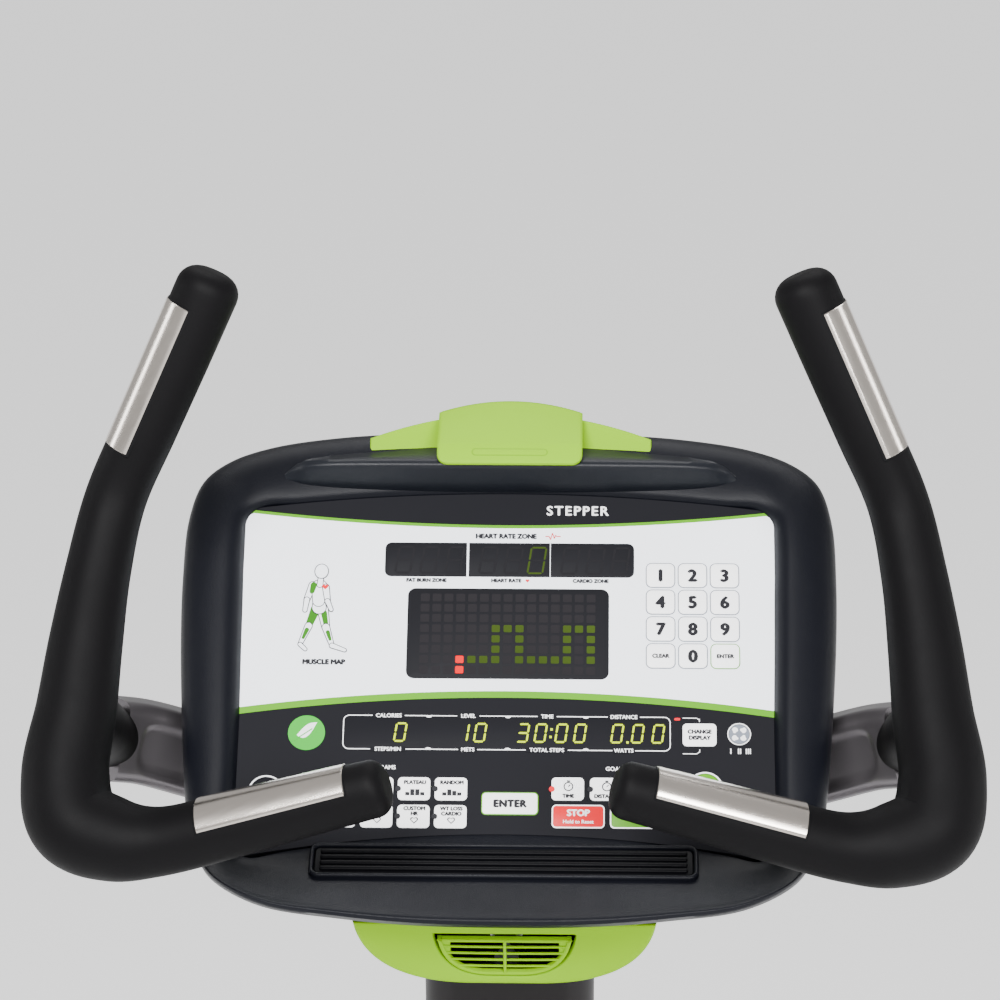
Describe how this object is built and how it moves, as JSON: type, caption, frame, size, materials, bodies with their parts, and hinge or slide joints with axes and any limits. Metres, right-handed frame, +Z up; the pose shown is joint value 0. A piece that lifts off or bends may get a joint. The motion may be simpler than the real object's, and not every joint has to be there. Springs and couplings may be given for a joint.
{
  "type": "stepper",
  "caption": "Gym stepper with sprung parallelogram pedals, strap drive under side covers, leaning mast, shaped handlebars with pulse contacts and a tilted console.",
  "frame": {"origin": "on the floor under the middle of the machine's length and width", "axes": "+Z up, +Y towards the machine's front, the way the user faces, +X to the user's right"},
  "size_m": [0.68, 1.31, 1.6758],
  "materials": {
    "painted_frame": "charcoal metallic powder coat",
    "cover_plastic": "moulded, fine grain",
    "shell_plastic": "moulded, fine grain",
    "grip_rubber": "dipped soft rubber",
    "contact_steel": "brushed along the bar",
    "overlay_film": "printed film, satin",
    "window_plastic": "smoked, polished",
    "black_rubber": "plain black",
    "green_plastic": "lime, satin",
    "machined_steel": "turned",
    "fan_plastic": "black",
    "circuit_resin": "green resist"
  },
  "bodies": {
    "machine": {"base_rail": "painted_frame", "front_stabilizer": "painted_frame", "rear_stabilizer": "painted_frame", "drive_frame": "painted_frame", "mast": "painted_frame", "left_handlebar_support": "painted_frame", "right_handlebar_support": "painted_frame", "left_side_cover": "cover_plastic", "right_side_cover": "cover_plastic", "console_front_shell": "shell_plastic", "console_back_shell": "shell_plastic", "rack_ledge": "shell_plastic", "mast_collar": "shell_plastic", "left_handlebar": "grip_rubber", "right_handlebar": "grip_rubber", "left_upper_contact": "contact_steel", "right_upper_contact": "contact_steel", "left_lower_contact": "contact_steel", "right_lower_contact": "contact_steel", "control_overlay": "overlay_film", "zone_window": "window_plastic", "matrix_window": "window_plastic", "readout_window": "window_plastic", "ledge_mat": "black_rubber", "drive_belt": "black_rubber", "left_strap": "black_rubber", "right_strap": "black_rubber", "rack_backrest": "green_plastic", "fan_housing": "green_plastic", "pivot_shaft": "machined_steel", "left_bearing": "machined_steel", "right_bearing": "machined_steel", "generator": "machined_steel", "left_return_spring": "machined_steel", "right_return_spring": "machined_steel", "fan_motor": "machined_steel", "circuit_board": "circuit_resin"},
    "left_arm": {"left_pedal_arm": "painted_frame"},
    "right_arm": {"right_pedal_arm": "painted_frame"},
    "left_link": {"left_levelling_link": "painted_frame"},
    "right_link": {"right_levelling_link": "painted_frame"},
    "left_step": {"left_pedal": "shell_plastic", "left_pedal_mat": "black_rubber"},
    "right_step": {"right_pedal": "shell_plastic", "right_pedal_mat": "black_rubber"},
    "drive_axle": {"drive_shaft": "machined_steel", "drive_pulley": "machined_steel"},
    "left_clutch": {"left_clutch_pulley": "machined_steel"},
    "right_clutch": {"right_clutch_pulley": "machined_steel"},
    "generator_rotor": {"generator_pulley": "machined_steel"},
    "fan_blades": {"fan_rotor": "fan_plastic"},
    "louvre": {"fan_louvre": "green_plastic"},
    "clip": {"media_clip": "green_plastic"},
    "left_wheel": {"left_transport_wheel": "black_rubber"},
    "right_wheel": {"right_transport_wheel": "black_rubber"},
    "foot_front_left": {"front_left_foot": "black_rubber"},
    "foot_front_right": {"front_right_foot": "black_rubber"},
    "foot_rear_left": {"rear_left_foot": "black_rubber"},
    "foot_rear_right": {"rear_right_foot": "black_rubber"}
  },
  "joints": [
    {"name": "left_arm_hinge", "type": "hinge", "parent": "machine", "child": "left_arm", "pos_m": [-0.115, 0.33, 0.3], "axis": [1, 0, 0], "range_deg": [0, 28], "stiffness_Nm_per_rad": 45, "springref_deg": -51.57, "deforming": ["left_strap", "left_return_spring"]},
    {"name": "right_arm_hinge", "type": "hinge", "parent": "machine", "child": "right_arm", "pos_m": [0.115, 0.33, 0.3], "axis": [1, 0, 0], "range_deg": [0, 28], "stiffness_Nm_per_rad": 45, "springref_deg": -51.57, "deforming": ["right_strap", "right_return_spring"]},
    {"name": "left_link_hinge", "type": "hinge", "parent": "machine", "child": "left_link", "pos_m": [-0.115, 0.33, 0.22], "axis": [1, 0, 0], "range_deg": [0, 28]},
    {"name": "left_pedal_hinge", "type": "hinge", "parent": "left_arm", "child": "left_step", "pos_m": [-0.115, -0.17455, 0.4258], "axis": [1, 0, 0], "range_deg": [-28, 0]},
    {"name": "left_clutch_turn", "type": "hinge", "parent": "machine", "child": "left_clutch", "pos_m": [-0.115, 0.217, 0.48], "axis": [1, 0, 0], "range_deg": [0, 124]},
    {"name": "right_link_hinge", "type": "hinge", "parent": "machine", "child": "right_link", "pos_m": [0.115, 0.33, 0.22], "axis": [1, 0, 0], "range_deg": [0, 28]},
    {"name": "right_pedal_hinge", "type": "hinge", "parent": "right_arm", "child": "right_step", "pos_m": [0.115, -0.17455, 0.4258], "axis": [1, 0, 0], "range_deg": [-28, 0]},
    {"name": "right_clutch_turn", "type": "hinge", "parent": "machine", "child": "right_clutch", "pos_m": [0.115, 0.217, 0.48], "axis": [1, 0, 0], "range_deg": [0, 124]},
    {"name": "drive_spin", "type": "hinge", "parent": "machine", "child": "drive_axle", "pos_m": [0, 0.217, 0.48], "axis": [1, 0, 0], "continuous": true},
    {"name": "generator_spin", "type": "hinge", "parent": "machine", "child": "generator_rotor", "pos_m": [0, 0.5, 0.26], "axis": [1, 0, 0], "continuous": true},
    {"name": "fan_spin", "type": "hinge", "parent": "machine", "child": "fan_blades", "pos_m": [0, 0.128, 1.228], "axis": [0, 1, 0], "continuous": true},
    {"name": "louvre_tilt", "type": "hinge", "parent": "machine", "child": "louvre", "pos_m": [0, 0.09, 1.227], "axis": [1, 0, 0], "range_deg": [-12, 12]},
    {"name": "clip_slide", "type": "slide", "parent": "machine", "child": "clip", "axis": [0, 0.6428, 0.766], "range_m": [0, 0.04], "stiffness_N_per_m": 180, "springref_m": -0.015},
    {"name": "left_wheel_spin", "type": "hinge", "parent": "machine", "child": "left_wheel", "pos_m": [-0.235, 0.627, 0.036], "axis": [1, 0, 0], "continuous": true},
    {"name": "right_wheel_spin", "type": "hinge", "parent": "machine", "child": "right_wheel", "pos_m": [0.235, 0.627, 0.036], "axis": [1, 0, 0], "continuous": true},
    {"name": "front_left_foot_height", "type": "slide", "parent": "machine", "child": "foot_front_left", "axis": [0, 0, -1], "range_m": [0, 0.01]},
    {"name": "front_right_foot_height", "type": "slide", "parent": "machine", "child": "foot_front_right", "axis": [0, 0, -1], "range_m": [0, 0.01]},
    {"name": "rear_left_foot_height", "type": "slide", "parent": "machine", "child": "foot_rear_left", "axis": [0, 0, -1], "range_m": [0, 0.01]},
    {"name": "rear_right_foot_height", "type": "slide", "parent": "machine", "child": "foot_rear_right", "axis": [0, 0, -1], "range_m": [0, 0.01]}
  ],
  "couplings": [
    {"joint": "left_link_hinge", "follows": "left_arm_hinge", "ratio": 1},
    {"joint": "left_pedal_hinge", "follows": "left_arm_hinge", "ratio": -1},
    {"joint": "left_clutch_turn", "follows": "left_arm_hinge", "ratio": 4.4},
    {"joint": "right_link_hinge", "follows": "right_arm_hinge", "ratio": 1},
    {"joint": "right_pedal_hinge", "follows": "right_arm_hinge", "ratio": -1},
    {"joint": "right_clutch_turn", "follows": "right_arm_hinge", "ratio": 4.4},
    {"joint": "generator_spin", "follows": "drive_spin", "ratio": 4.26}
  ]
}
